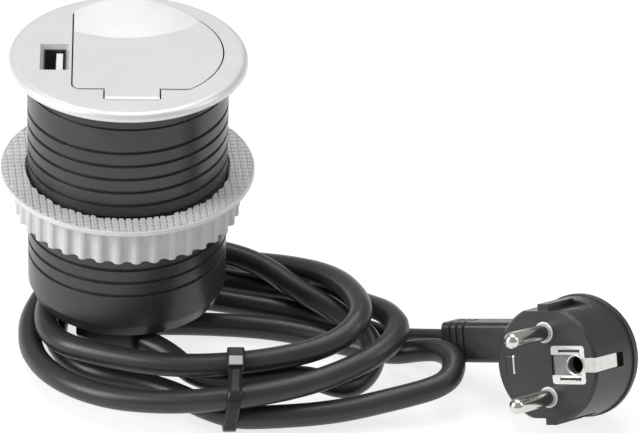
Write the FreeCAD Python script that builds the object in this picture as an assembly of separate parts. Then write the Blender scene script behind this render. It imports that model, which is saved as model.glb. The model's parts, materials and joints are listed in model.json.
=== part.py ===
import FreeCAD, Part
import math
import os

V = FreeCAD.Vector
os.makedirs("parts", exist_ok=True)

# Driving dimensions, millimetres and degrees.
# The origin is the seat: the centre of the flange's underside, which lies on the desk. +Z is up.
CLEAR = 0.3              # gap between pieces that only sit beside each other
SNUG = 0.1               # gap of a guided fit

# Desk hole, flange and housing
HOLE_R = 30.0            # 60 mm hole in the desk
HOUSING_R = HOLE_R - 0.5
WALL = 2.2
BORE_R = HOUSING_R - WALL
HOUSING_LEN = 73.6
FLANGE_R = 35.0
FLANGE_H = 2.4
DOME = 1.9               # rounding of the flange's upper edge
SPIGOT_LEN = 5.0
SPIGOT_WALL = 1.4
GASKET_OUT = FLANGE_R - 1.2
GASKET_W = 2.4
GASKET_H = 0.8
COLLAR_GROOVE_Z = -5.8
COLLAR_GROOVE_W = 0.7
COLLAR_GROOVE_D = 0.5

# Thread on the housing
PITCH = 4.45
THREAD_TOP = -12.6
THREAD_TURNS = 12
GROOVE_W = 1.2
GROOVE_D = 0.8
THREAD_FLANK = 0.3       # how much narrower the groove is at its bottom, on each side

# Clamp nut, with its loose grip ring
NUT_TOP = -35.3
GRIP_W = 7.7             # width of the ring from its bore to its rim
GRIP_H = 1.9
KNURL_STEP = 4.0
KNURL_W = 0.6
KNURL_D = 0.4
NUT_WALL = 2.1           # between the nut's bore and the bottom of its flutes
FLUTES = 38
FLUTE_D = 1.5
FLUTE_LAND = 0.4         # share of a flute's step that its ridge takes
FLUTE_ROUND = 0.4        # how far the ridge's sides lie below its crest
NUT_H = 13.9
NUT_BORE_CLEAR = 0.3
NUT_BORE_R = HOUSING_R + NUT_BORE_CLEAR
GRIP_R = NUT_BORE_R + GRIP_W
THREAD_PLAY = 0.25
THREAD_PROUD = 0.4       # how far a thread's cutter or ridge runs into what it joins
NUT_LEAD_IN = 1.2
NUT_TURNS = 1.75

# Socket under the lid, an earthed round socket
SOCKET_X = 5.7
SOCKET_Y = 1.5
SOCKET_R = 19.5
SOCKET_DEPTH = 17.5
WELL_WALL = 1.2
FLOOR_T = 2.5
PIN_SPACING = 19.0
PIN_R = 2.4
PIN_HOLE_R = 2.75
EARTH_CLIP_W = 6.0
EARTH_CLIP_T = 0.8
CLIP_TOP = -2.6
CLIP_LOW = -10.5
CLIP_NOSE = 1.2          # how far a clip stands into the well
CENTRE_SCREW_R = 1.7
CENTRE_SCREW_L = 8.0     # length below the carrier's top
SCREW_HEAD = 1.2
SLOT_W = 0.8             # screwdriver slots
WELL_FLOOR = FLANGE_H - SOCKET_DEPTH
WELL_LOW = WELL_FLOOR - FLOOR_T

# Safety shutter, its return spring and its hub
SHUTTER_R = 14.0
SHUTTER_T = 1.6
SHUTTER_TURN = 28.0
HUB_R = 3.0
SPRING_WIRE_R = 0.5
SHUTTER_TOP = WELL_LOW - CLEAR
SHUTTER_LOW = SHUTTER_TOP - SHUTTER_T

# Contact carrier and the block below it
CARRIER_R = 20.0
CARRIER_H = 17.0
CARRIER_TOP = SHUTTER_LOW - CLEAR
CARRIER_LOW = CARRIER_TOP - CARRIER_H
POCKET_FLOOR = CARRIER_LOW + 1.4
CONTACT_T = 0.8
CONTACT_W = 6.0
BLOCK_L = 30.0
BLOCK_W = 12.0
BLOCK_H = 10.0
BLOCK_TOP = CARRIER_LOW - EARTH_CLIP_T
BLOCK_LOW = BLOCK_TOP - BLOCK_H
BLOCK_SCREW_R = 1.5
LEAD_R = 0.9
LEAD_STEP = 2.6          # between the leads where they leave the sheath

# Lid
LID_LEFT = -16.0
LID_FRONT = -19.8
LID_R = 27.6
LID_ARC_Y = 1.2          # centre of the lid's round edge, behind the axis
LID_T = 1.8
LID_CORNER = 2.5
LID_GAP = 0.4
LID_FRONT_GAP = 0.7      # wider, because the front edge swings out as the lid opens
LIP_H = 2.2
LIP_R = 30.0             # plan radius of the finger lip's front edge, centred behind the lid
LIP_FRONT = 9.1
LIP_X = -1.0
HINGE_Y = -24.4
BARREL_R = 1.5
BARREL_L = 15.8
BARREL_X = 1.2
HINGE_PIN_R = 0.6
HINGE_RUN = 0.05         # radial running clearance on the pin
HINGE_EAR = 2.4          # how far the pin goes into the flange at each end
HINGE_FRONT_GAP = 0.5
HINGE_Z = FLANGE_H - BARREL_R
TAB_X0 = BARREL_X - BARREL_L / 2
TAB_X1 = BARREL_X + BARREL_L / 2

# Charging port
USB_X = -21.35
USB_Y = -2.0
USB_LONG = 12.9
USB_SHORT = 5.7
USB_DEPTH = 14.0
USB_SHELL_T = 0.35
USB_BEVEL = 0.7
USB_RECESS = 2.0
USB_TOP = FLANGE_H - USB_RECESS + 0.4
USB_LOW = USB_TOP - USB_DEPTH
USB_CONTACT_STEP = 2.5
TONGUE_T = 1.9
TONGUE_L = 9.4
TONGUE_X = USB_X + USB_SHORT / 2 - TONGUE_T - 0.5
BOARD_T = 1.6
BOARD_W = 24.0
BOARD_L = 36.0
BOARD_X = USB_X - BOARD_T / 2
CAN_R = 3.0
CAN_H = 6.0
CAN_OFF = 7.5            # each can from the middle of the board
CORE_H = 7.0
CORE_W = 12.0
CORE_L = 9.0
CORE_UP = 2.0            # above the board's lower edge
WINDING_W = 15.0
WINDING_L = 4.0
WINDING_IN = 0.5

# Bottom cap and cord outlet
CAP_H = 3.9
CAP_R_TOP = HOUSING_R - 0.4
CAP_R_LOW = HOUSING_R - 1.7
CAP_LOW_Z = -HOUSING_LEN - CAP_H
CAP_SCREW_R = 1.5
CAP_SCREW_PCR = 23.6
CAP_SCREWS = 3
CAP_BOSS_R = 3.1
CAP_BOSS_H = 10.0
SCREW_SEAT = 1.6         # depth of a sunk screw head
CORD_D = 7.0
CORD_R = CORD_D / 2
CLAMP_Z = -HOUSING_LEN + 2.0
CLAMP_L = 18.0
CLAMP_W = 10.0
CLAMP_H = 4.0
CLAMP_SCREW_X = 6.5
CLAMP_SCREW_R = 1.2
SHEATH_TOP = CLAMP_Z + CLAMP_H + 2.0
OUTLET_X = 4.5
OUTLET_Y = -22.5
OUTLET_DROP = 5.0        # from the cap down to the outlet's axis
OUTLET_Z = CAP_LOW_Z - OUTLET_DROP
OUTLET_HEADING = -36.0
OUTLET_L = 15.0
OUTLET_W = 10.6
OUTLET_SKIN = 1.1
OUTLET_ROUND = 1.8

# Floor and the layers of cord on it
CAP_ABOVE_FLOOR = 14.3
FLOOR_Z = CAP_LOW_Z - CAP_ABOVE_FLOOR
FLAT = 0.5               # cord on the floor is cut flat this deep
LAYER = CORD_D + 0.5
FIRST_Z = FLOOR_Z + CORD_R - FLAT

# Angled earthed plug on the cord
PLUG_X = 121.6
PLUG_Y = -56.4
PLUG_HEADING = 230.1     # where its pins point, seen from above
PLUG_TILT = 18.1         # how far its pins point up
PLUG_ROLL = 21.0
PLUG_PIN_L = 19.0
PLUG_FACE_R = 17.3
PLUG_FLAT_Y = 15.7       # the flats above and below the face
PLUG_FLAT_LOW = -13.0
PLUG_REAR_R = 18.2
PLUG_L = 20.5
PLUG_RIM_T = 1.4
PLUG_TAPER = 0.5         # how much wider the body is at its rear
PLUG_BACK_H = 6.0
LUG_W = 3.6
LUG_H = 2.0
EARTH_OFFSET = 10.0
NECK_OFF = 5.3
NECK_DEPTH = 12.0
NECK_W = 12.0
NECK_T = 10.6
NECK_END = 40.5
COLLAR_W = 0.75
COLLAR_DEEP = 2.0
COLLAR_TOP = 0.3
PIN_ROOT_R = PIN_R - 0.4
EARTH_DEEP = 16.0        # room for a socket's earth pin
FRAME_X0 = 2.0           # white frame round the earth hole, from here out towards the edge
FRAME_X1 = 13.4
FRAME_Y = 5.6
FRAME_BAR = 2.6          # width of its upper and lower bars
FRAME_CORNER = 1.0
FRAME_DEEP = 3.0
STRIP_W = 4.2
STRIP_T = 0.8
STRIP_LOW = -11.5
STRIP_IN = 0.35          # from the face's edge in to the strip
STRIP_SLOT_LOW = -14.0
STRIP_WINDOW = (10.9, 13.9)      # from the axis, where the far strip shows in the face
STRIP_UNDER = 0.8                # depth of that strip's foot below the face

# Tie round the coil
FRONT_X = 31.0
TIE_GAP = 0.8
TIE_T = 1.0
TIE_W = 4.8
TIE_HEAD = 6.0
TIE_HEAD_H = 3.6
TIE_END = 3.0

# Coil: points (x, y, height above the lowest layer) that each loop passes: at the tie, at the right,
# right rear, rear, left and left front. The loops are as loose and unequal as the photograph shows.
COIL_LOOPS = [
    [(FRONT_X, -44.5, 6.5), (70, -32, 7.5), (57, 0, 9.5), (27, 24.5, LAYER), (-25, -7, LAYER), (-11, -36.5, 8)],
    [(FRONT_X, -47, 14), (68, -30, 24), (64, 20, 11.5), (36, 38, 2), (-30, -15.5, 2), (-4, -50, 6)],
    [(FRONT_X, -57, 10.2), (76, -26, 15.5), (70, -7, 13), (33, 30.5, 2), (-23, -5, 0), (-1, -45, 0)],
    [(FRONT_X, -58, 2.4), (93, -37, 9), (82, -20, 9.5), (64, 8, 0), (31, 13, 1), (-10, 1.5, 1)],
]
COIL_TAIL = [(8, -10.5, 0), (45, -5.5, 0.5), (74.5, -12.5, 0.5)]


def box(x0, x1, y0, y1, z0, z1):
    """Box between two corners."""
    return Part.makeBox(x1 - x0, y1 - y0, z1 - z0, V(x0, y0, z0))


def disc(r, z0, z1, x=0.0, y=0.0):
    """Upright cylinder between two heights."""
    return Part.makeCylinder(r, z1 - z0, V(x, y, z0))


def ring(r_out, r_in, z0, z1, x=0.0, y=0.0):
    """Upright tube between two heights."""
    return disc(r_out, z0, z1, x, y).cut(disc(r_in, z0 - 1, z1 + 1, x, y))


def turned(points):
    """Solid of revolution about Z from points (radius, height)."""
    wire = Part.makePolygon([V(r, 0, z) for r, z in points + points[:1]])
    return Part.Face(wire).revolve(V(0, 0, 0), V(0, 0, 1), 360)


def group(solids):
    """Separate solids kept as one node."""
    return Part.makeCompound(solids)


def polar(radius, degrees):
    """Point on a circle about the axis."""
    angle = math.radians(degrees)
    return radius * math.cos(angle), radius * math.sin(angle)


# Thread

def helix_ribbon(r_mouth, r_deep, half_mouth, half_deep, z_low, turns):
    """Trapezoid section swept up the right-handed helix that all the threads share."""
    height = turns * PITCH
    path = Part.makeHelix(PITCH, height, r_mouth)
    corners = [V(r_mouth, 0, -half_mouth), V(r_mouth, 0, half_mouth),
               V(r_deep, 0, half_deep), V(r_deep, 0, -half_deep)]
    sweep = Part.BRepOffsetAPI.MakePipeShell(Part.Wire(path.Edges))
    sweep.setFrenetMode(True)
    sweep.add(Part.makePolygon(corners + corners[:1]))
    sweep.build()
    sweep.makeSolid()
    ribbon = sweep.shape()
    phase = 360.0 * (z_low - THREAD_TOP) / PITCH
    ribbon.rotate(V(0, 0, 0), V(0, 0, 1), phase % 360.0)
    ribbon.translate(V(0, 0, z_low))
    return ribbon


def thread_groove():
    """Cutter for the housing's thread; it runs a little proud of the surface."""
    slope = THREAD_FLANK / GROOVE_D
    half = GROOVE_W / 2
    return helix_ribbon(HOUSING_R + THREAD_PROUD, HOUSING_R - GROOVE_D, half + THREAD_PROUD * slope,
                        half - THREAD_FLANK, THREAD_TOP - THREAD_TURNS * PITCH, THREAD_TURNS)


def nut_ridge():
    """The nut's inner thread, which runs in the housing's groove with play all round."""
    root = NUT_BORE_R + THREAD_PROUD
    tip = NUT_BORE_R - GROOVE_D
    slope = THREAD_FLANK / GROOVE_D
    half = GROOVE_W / 2 - THREAD_PLAY
    return helix_ribbon(root, tip, half + (root - HOUSING_R) * slope,
                        half - (HOUSING_R - tip) * slope, NUT_TOP - NUT_H + NUT_LEAD_IN, NUT_TURNS)


def threaded_housing():
    tube = ring(HOUSING_R, BORE_R, -HOUSING_LEN, 0)
    tube = tube.cut(ring(HOUSING_R + 1, HOUSING_R - COLLAR_GROOVE_D,
                         COLLAR_GROOVE_Z - COLLAR_GROOVE_W / 2, COLLAR_GROOVE_Z + COLLAR_GROOVE_W / 2))
    tube = tube.cut(thread_groove())
    for k in range(CAP_SCREWS):
        x, y = cap_screw_place(k)
        boss = disc(CAP_BOSS_R, -HOUSING_LEN, -HOUSING_LEN + CAP_BOSS_H, x, y)
        web_len = BORE_R - CAP_SCREW_PCR + WALL / 2
        web = Part.makeBox(web_len, CAP_BOSS_R, CAP_BOSS_H, V(CAP_SCREW_PCR, -CAP_BOSS_R / 2, -HOUSING_LEN))
        web.rotate(V(0, 0, 0), V(0, 0, 1), cap_screw_angle(k))
        hole = disc(CAP_SCREW_R, -HOUSING_LEN - 1, -HOUSING_LEN + CAP_BOSS_H - 2, x, y)
        tube = tube.fuse(boss.fuse(web)).cut(hole)
    return tube


def cap_screw_angle(k):
    return 30.0 + 360.0 * k / CAP_SCREWS


def cap_screw_place(k):
    return polar(CAP_SCREW_PCR, cap_screw_angle(k))


# Flange and lid

def lid_outline(gap):
    """D shape in plan: straight left and front edges, round on the right and at the rear."""
    r = LID_R + gap
    left = LID_LEFT - gap
    front = LID_FRONT - (LID_FRONT_GAP if gap else 0)
    y_left = LID_ARC_Y + math.sqrt(r * r - left * left)
    x_right = math.sqrt(r * r - (front - LID_ARC_Y) ** 2)
    a = V(left, y_left, 0)
    b = V(left, front, 0)
    c = V(x_right, front, 0)
    arc = Part.Arc(c, V(r, LID_ARC_Y, 0), a)
    return Part.Wire([Part.LineSegment(a, b).toShape(), Part.LineSegment(b, c).toShape(), arc.toShape()])


def lid_plate(gap, z0, z1):
    """The D outline as a plate with rounded upright edges."""
    face = Part.Face(lid_outline(gap))
    face.translate(V(0, 0, z0))
    plate = face.extrude(V(0, 0, z1 - z0))
    upright = [e for e in plate.Edges if abs(e.Vertexes[0].Z - e.Vertexes[-1].Z) > 0.5 * (z1 - z0)]
    return plate.makeFillet(LID_CORNER + gap, upright)


def barrel(r, x0, x1):
    """Cylinder on the hinge axis."""
    return Part.makeCylinder(r, x1 - x0, V(x0, HINGE_Y, HINGE_Z), V(1, 0, 0))


def hinge_slot():
    """Space in the flange in which the lid's tab and barrel turn."""
    return box(TAB_X0 - LID_GAP, TAB_X1 + LID_GAP, HINGE_Y - BARREL_R - HINGE_FRONT_GAP, LID_FRONT + 1,
               HINGE_Z - BARREL_R - LID_GAP, FLANGE_H + 1)


def cover_flange():
    r = FLANGE_R
    plate = turned([(0, 0), (r, 0), (r, FLANGE_H), (0, FLANGE_H)])
    rim = [e for e in plate.Edges if abs(e.BoundBox.ZMin - FLANGE_H) < 1e-6 and e.Length > 3 * r]
    plate = plate.makeFillet(DOME, rim)
    spigot_r = BORE_R - SNUG
    spigot = ring(spigot_r, spigot_r - SPIGOT_WALL, -SPIGOT_LEN, 0)
    spigot = spigot.cut(disc(SOCKET_R + WELL_WALL + SNUG, -SPIGOT_LEN - 1, 1, SOCKET_X, SOCKET_Y))
    body = plate.fuse(spigot)
    body = body.cut(lid_plate(LID_GAP, FLANGE_H - LID_T - SNUG, FLANGE_H + 1))
    body = body.cut(disc(SOCKET_R, -1, FLANGE_H, SOCKET_X, SOCKET_Y))
    body = body.cut(hinge_slot())
    body = body.cut(barrel(HINGE_PIN_R, TAB_X0 - HINGE_EAR, TAB_X1 + HINGE_EAR))
    body = body.cut(usb_recess())
    gasket = ring(GASKET_OUT + SNUG, GASKET_OUT - GASKET_W - SNUG, -1, GASKET_H)
    return body.cut(gasket)


def seat_gasket():
    return ring(GASKET_OUT, GASKET_OUT - GASKET_W, 0, GASKET_H)


def lid():
    top = FLANGE_H
    under = FLANGE_H - LID_T
    plate = lid_plate(0, under, top)
    lip = lid_lip()
    tab = box(TAB_X0, TAB_X1, HINGE_Y, LID_FRONT + 1, under, top)
    knuckle = barrel(BARREL_R, TAB_X0, TAB_X1)
    body = plate.fuse(lip).fuse(tab).fuse(knuckle)
    body = body.cut(barrel(HINGE_PIN_R + HINGE_RUN, TAB_X0 - 1, TAB_X1 + 1))
    return body.removeSplitter()


def lid_lip():
    """Finger lip along the rear edge: a flat cone round a point behind the lid, so its front edge is an arc."""
    low = FLANGE_H - LID_T / 2
    slope = LIP_H / (LID_ARC_Y + LID_R - LIP_FRONT)
    foot = LIP_R + (FLANGE_H - low) / slope
    cone = Part.makeCone(foot, 0, foot * slope, V(LIP_X, LIP_FRONT + LIP_R, low))
    return cone.common(lid_plate(0, low, FLANGE_H + 2 * LIP_H))


def lid_hinge_pin():
    return barrel(HINGE_PIN_R, TAB_X0 - HINGE_EAR, TAB_X1 + HINGE_EAR)


# Socket

def pin_places():
    return [SOCKET_X - PIN_SPACING / 2, SOCKET_X + PIN_SPACING / 2]


def earth_slots(extra):
    """Two slots in the well's wall, front and rear, for the earth clips."""
    w = EARTH_CLIP_W / 2 + extra
    depth = SOCKET_R + WELL_WALL + 1
    return box(SOCKET_X - w, SOCKET_X + w, SOCKET_Y - depth, SOCKET_Y + depth,
               CLIP_LOW - extra, CLIP_TOP + extra)


def socket_sleeve():
    """Wall of the socket's well, with a skirt that stands on the carrier."""
    r = SOCKET_R + WELL_WALL
    wall = ring(r, SOCKET_R, WELL_LOW, 0, SOCKET_X, SOCKET_Y).cut(earth_slots(CLEAR))
    skirt = ring(r, SOCKET_R, CARRIER_TOP, WELL_LOW, SOCKET_X, SOCKET_Y)
    skirt = skirt.common(disc(CARRIER_R, CARRIER_TOP - 1, WELL_LOW + 1, SOCKET_X, SOCKET_Y))
    return wall.fuse(skirt)


def socket_insert():
    """Floor plate of the well, with the two pin holes and the centre screw's seat."""
    plate = disc(SOCKET_R, WELL_LOW, WELL_FLOOR, SOCKET_X, SOCKET_Y)
    for x in pin_places():
        plate = plate.cut(disc(PIN_HOLE_R, WELL_LOW - 1, 1, x, SOCKET_Y))
    plate = plate.cut(disc(CENTRE_SCREW_R, WELL_LOW - 1, 1, SOCKET_X, SOCKET_Y))
    return plate.cut(disc(CENTRE_SCREW_R * 2 + SNUG, WELL_FLOOR - SCREW_HEAD, 1, SOCKET_X, SOCKET_Y))


def centre_screw():
    shank = disc(CENTRE_SCREW_R, CARRIER_TOP - CENTRE_SCREW_L, WELL_FLOOR - SCREW_HEAD, SOCKET_X, SOCKET_Y)
    head = disc(CENTRE_SCREW_R * 2, WELL_FLOOR - SCREW_HEAD, WELL_FLOOR - SNUG, SOCKET_X, SOCKET_Y)
    slot = box(SOCKET_X - 4, SOCKET_X + 4, SOCKET_Y - SLOT_W / 2, SOCKET_Y + SLOT_W / 2,
               WELL_FLOOR - SCREW_HEAD / 2, WELL_FLOOR + 1)
    return shank.fuse(head).cut(slot)


def shutter_disc():
    """Turning shutter: its two windows stand clear of the pin holes until it is turned."""
    plate = disc(SHUTTER_R, SHUTTER_LOW, SHUTTER_TOP, SOCKET_X, SOCKET_Y)
    plate = plate.cut(disc(HUB_R + 0.05, SHUTTER_LOW - 1, SHUTTER_TOP + 1, SOCKET_X, SOCKET_Y))
    for x in pin_places():
        window = disc(PIN_HOLE_R + CLEAR, SHUTTER_LOW - 1, SHUTTER_TOP + 1, x, SOCKET_Y)
        window.rotate(V(SOCKET_X, SOCKET_Y, 0), V(0, 0, 1), -SHUTTER_TURN)
        plate = plate.cut(window)
    return plate


def shutter_spring():
    """Flat ring of round wire on the carrier, outside the shutter, that turns it back."""
    r = (SHUTTER_R + SOCKET_R) / 2
    wire = Part.makeTorus(r, SPRING_WIRE_R, V(SOCKET_X, SOCKET_Y, CARRIER_TOP + SPRING_WIRE_R))
    gap = box(SOCKET_X - 1.5, SOCKET_X + 1.5, SOCKET_Y, SOCKET_Y + r + 1, CARRIER_TOP - 1, WELL_LOW)
    return wire.cut(gap)


def contact_carrier():
    """Insulator below the shutter, with a pocket for each contact."""
    body = disc(CARRIER_R, CARRIER_LOW, CARRIER_TOP, SOCKET_X, SOCKET_Y)
    body = body.common(disc(BORE_R - CLEAR, CARRIER_LOW, CARRIER_TOP))
    hub = disc(HUB_R, CARRIER_TOP - 1, WELL_LOW, SOCKET_X, SOCKET_Y)
    body = body.fuse(hub).cut(disc(CENTRE_SCREW_R, CARRIER_TOP - CENTRE_SCREW_L, 0, SOCKET_X, SOCKET_Y))
    w = PIN_R + CONTACT_T + 2 * CLEAR
    for x in pin_places():
        body = body.cut(box(x - w, x + w, SOCKET_Y - w, SOCKET_Y + w, POCKET_FLOOR, CARRIER_TOP + 1))
    return body


def pin_contact(x):
    """Spring fork of two leaves on a base, round one pin's place."""
    z1 = CARRIER_TOP - 1.5
    z0 = POCKET_FLOOR + CONTACT_T
    gap = PIN_R + SNUG
    out = gap + CONTACT_T
    half = CONTACT_W / 2
    base = box(x - out, x + out, SOCKET_Y - half, SOCKET_Y + half, POCKET_FLOOR, z0)
    left = box(x - out, x - gap, SOCKET_Y - half, SOCKET_Y + half, z0, z1)
    right = box(x + gap, x + out, SOCKET_Y - half, SOCKET_Y + half, z0, z1)
    return base.fuse(left).fuse(right)


def earth_bracket():
    """One strap under the carrier with a spring clip up each side of the well."""
    w = EARTH_CLIP_W / 2
    y_in = SOCKET_R + WELL_WALL + CLEAR
    y_out = y_in + EARTH_CLIP_T
    x0 = SOCKET_X - w
    strap = box(x0, x0 + 2 * w, SOCKET_Y - y_out, SOCKET_Y + y_out, BLOCK_TOP, CARRIER_LOW)
    for side in (-1, 1):
        near = SOCKET_Y + side * y_in
        far = SOCKET_Y + side * y_out
        riser = box(x0, x0 + 2 * w, min(near, far), max(near, far), BLOCK_TOP, CLIP_TOP)
        nose_y = SOCKET_Y + side * (SOCKET_R - CLIP_NOSE)
        middle = (CLIP_TOP + CLIP_LOW) / 2
        nose = Part.makePolygon([V(x0, far, CLIP_TOP), V(x0, nose_y, middle + 1), V(x0, nose_y, middle - 1),
                                 V(x0, far, CLIP_LOW), V(x0, far, CLIP_TOP)])
        nose = Part.Face(nose).extrude(V(2 * w, 0, 0))
        strap = strap.fuse(riser).fuse(nose)
    return strap


def block_ways():
    return [SOCKET_X - BLOCK_L / 3, SOCKET_X, SOCKET_X + BLOCK_L / 3]


def terminal_block():
    body = box(SOCKET_X - BLOCK_L / 2, SOCKET_X + BLOCK_L / 2, SOCKET_Y - BLOCK_W / 2,
               SOCKET_Y + BLOCK_W / 2, BLOCK_LOW, BLOCK_TOP)
    for x in block_ways():
        body = body.cut(disc(LEAD_R + SNUG, BLOCK_LOW - 1, BLOCK_TOP + 1, x, SOCKET_Y))
        screw = Part.makeCylinder(BLOCK_SCREW_R, BLOCK_W / 2, V(x, SOCKET_Y - BLOCK_W / 2, BLOCK_LOW + 4), V(0, 1, 0))
        body = body.cut(screw)
    return body


def terminal_screws():
    screws = []
    for x in block_ways():
        y0 = SOCKET_Y - BLOCK_W / 2 + 0.3
        length = BLOCK_W / 2 - 0.3 - LEAD_R - 0.05
        screw = Part.makeCylinder(BLOCK_SCREW_R, length, V(x, y0, BLOCK_LOW + 4), V(0, 1, 0))
        slot = box(x - 2, x + 2, y0 - 1, y0 + 0.6, BLOCK_LOW + 3.7, BLOCK_LOW + 4.3)
        screws.append(screw.cut(slot))
    return group(screws)


# Charging port

def usb_recess():
    """Bevelled well in the flange down to the port, and the hole for its shell."""
    top_x = USB_SHORT / 2 + 1.4
    top_y = USB_LONG / 2 + 1.1
    low_x = top_x - USB_BEVEL
    low_y = top_y - USB_BEVEL
    z_low = FLANGE_H - USB_RECESS
    low = Part.makePolygon([V(USB_X + sx * low_x, USB_Y + sy * low_y, z_low)
                            for sx, sy in ((-1, -1), (1, -1), (1, 1), (-1, 1), (-1, -1))])
    top = Part.makePolygon([V(USB_X + sx * top_x, USB_Y + sy * top_y, FLANGE_H + 0.01)
                            for sx, sy in ((-1, -1), (1, -1), (1, 1), (-1, 1), (-1, -1))])
    bevel = Part.makeLoft([low, top], True, True)
    half_x = USB_SHORT / 2 + USB_SHELL_T + SNUG
    half_y = USB_LONG / 2 + USB_SHELL_T + SNUG
    hole = box(USB_X - half_x, USB_X + half_x, USB_Y - half_y, USB_Y + half_y, -6, FLANGE_H)
    return bevel.fuse(hole)


def usb_shell():
    x = USB_SHORT / 2 + USB_SHELL_T
    y = USB_LONG / 2 + USB_SHELL_T
    outer = box(USB_X - x, USB_X + x, USB_Y - y, USB_Y + y, USB_LOW, USB_TOP)
    inner = box(USB_X - USB_SHORT / 2, USB_X + USB_SHORT / 2, USB_Y - USB_LONG / 2,
                USB_Y + USB_LONG / 2, USB_LOW - 1, USB_TOP + 1)
    return outer.cut(inner)


def usb_tongue():
    """White tongue on its base, which closes the bottom of the shell."""
    base = box(USB_X - USB_SHORT / 2 + 0.02, USB_X + USB_SHORT / 2 - 0.02, USB_Y - USB_LONG / 2 + 0.02,
               USB_Y + USB_LONG / 2 - 0.02, USB_LOW, USB_TOP - 0.8 - TONGUE_L)
    tongue = box(TONGUE_X, TONGUE_X + TONGUE_T, USB_Y - USB_LONG / 2 + 0.6,
                 USB_Y + USB_LONG / 2 - 0.6, USB_LOW, USB_TOP - 0.8)
    return base.fuse(tongue)


def usb_contacts():
    """Four contact springs along the tongue."""
    pads = []
    for k in range(4):
        y = USB_Y + (k - 1.5) * USB_CONTACT_STEP
        pads.append(box(TONGUE_X - 0.25, TONGUE_X, y - 0.5, y + 0.5, USB_TOP - TONGUE_L, USB_TOP - 1.8))
    return group(pads)


def charger_board():
    return box(BOARD_X, BOARD_X + BOARD_T, USB_Y - BOARD_W / 2, USB_Y + BOARD_W / 2,
               USB_LOW - BOARD_L, USB_LOW)


def charger_transformer():
    """Core with its winding showing at both ends."""
    x0 = BOARD_X + BOARD_T
    z0 = USB_LOW - BOARD_L + CORE_UP
    core = box(x0, x0 + CORE_H, USB_Y - CORE_W / 2, USB_Y + CORE_W / 2, z0, z0 + CORE_L)
    z1 = z0 + (CORE_L - WINDING_L) / 2
    winding = box(x0 + WINDING_IN, x0 + CORE_H - WINDING_IN, USB_Y - WINDING_W / 2, USB_Y + WINDING_W / 2,
                  z1, z1 + WINDING_L)
    return core.fuse(winding)


def charger_capacitors():
    cans = []
    for dy in (-CAN_OFF, CAN_OFF):
        foot = V(BOARD_X + BOARD_T, USB_Y + dy, USB_LOW - BOARD_L / 2)
        cans.append(Part.makeCylinder(CAN_R, CAN_H, foot, V(1, 0, 0)))
    return group(cans)


# Bottom cap, cord clamp and outlet

def bottom_cap():
    z1 = -HOUSING_LEN
    shell = turned([(0, CAP_LOW_Z), (CAP_R_LOW, CAP_LOW_Z), (CAP_R_TOP, z1), (0, z1)])
    inner = disc(CAP_SCREW_PCR - CAP_BOSS_R - CLEAR, z1, CLAMP_Z)
    body = shell.fuse(inner)
    for k in range(CAP_SCREWS):
        x, y = cap_screw_place(k)
        body = body.cut(disc(CAP_SCREW_R, CAP_LOW_Z - 1, z1 + 1, x, y))
        body = body.cut(disc(CAP_SCREW_R * 2 + SNUG, CAP_LOW_Z - 1, CAP_LOW_Z + SCREW_SEAT, x, y))
    x, y = outlet_point(OUTLET_L)
    return body.cut(disc(CORD_R, CAP_LOW_Z - 1, CLAMP_Z + 1, x, y))


def cap_screws():
    screws = []
    for k in range(CAP_SCREWS):
        x, y = cap_screw_place(k)
        head = disc(CAP_SCREW_R * 2, CAP_LOW_Z + SNUG, CAP_LOW_Z + SCREW_SEAT, x, y)
        shank = disc(CAP_SCREW_R, CAP_LOW_Z + SCREW_SEAT, -HOUSING_LEN + CAP_BOSS_H - 3, x, y)
        slot = box(x - 4, x + 4, y - SLOT_W / 2, y + SLOT_W / 2, CAP_LOW_Z - 1, CAP_LOW_Z + SCREW_SEAT / 2)
        screws.append(head.fuse(shank).cut(slot))
    return group(screws)


def outlet_direction():
    x, y = polar(1.0, OUTLET_HEADING)
    return V(x, y, 0)


def outlet_point(back):
    """Plan position on the outlet's axis, a distance back from its mouth."""
    d = outlet_direction()
    return OUTLET_X - d.x * back, OUTLET_Y - d.y * back


def cord_outlet():
    """Elbow boss under the cap that turns the cord from upright to level."""
    x, y = outlet_point(OUTLET_L)
    half = OUTLET_W / 2
    low = OUTLET_Z - CORD_R - OUTLET_SKIN
    boss = box(-half, OUTLET_L, -half, half, low, CAP_LOW_Z)
    low_edges = [e for e in boss.Edges if abs(e.BoundBox.ZMax - low) < 1e-6]
    boss = boss.makeFillet(OUTLET_ROUND, low_edges)
    boss.rotate(V(0, 0, 0), V(0, 0, 1), OUTLET_HEADING)
    boss.translate(V(x, y, 0))
    return boss.cut(disc(CORD_R, OUTLET_Z, CAP_LOW_Z + 1, x, y))


def cord_entry():
    """The sheath inside, from the outlet up past the clamp."""
    x, y = outlet_point(OUTLET_L)
    return disc(CORD_R, OUTLET_Z, SHEATH_TOP, x, y)


def cord_clamp():
    """Saddle that grips the sheath on the cap."""
    x, y = outlet_point(OUTLET_L)
    body = box(x - CLAMP_L / 2, x + CLAMP_L / 2, y - CLAMP_W / 2, y + CLAMP_W / 2, CLAMP_Z, CLAMP_Z + CLAMP_H)
    body = body.cut(disc(CORD_R, CLAMP_Z - 1, CLAMP_Z + CLAMP_H + 1, x, y))
    for dx in (-CLAMP_SCREW_X, CLAMP_SCREW_X):
        body = body.cut(disc(CLAMP_SCREW_R, CLAMP_Z - 1, CLAMP_Z + CLAMP_H + 1, x + dx, y))
    return body


def clamp_screws():
    x, y = outlet_point(OUTLET_L)
    top = CLAMP_Z + CLAMP_H
    screws = []
    for dx in (-CLAMP_SCREW_X, CLAMP_SCREW_X):
        shank = disc(CLAMP_SCREW_R, CLAMP_Z, top, x + dx, y)
        head = disc(CLAMP_SCREW_R * 1.8, top, top + CLAMP_SCREW_R, x + dx, y)
        screws.append(shank.fuse(head))
    return group(screws)


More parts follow.
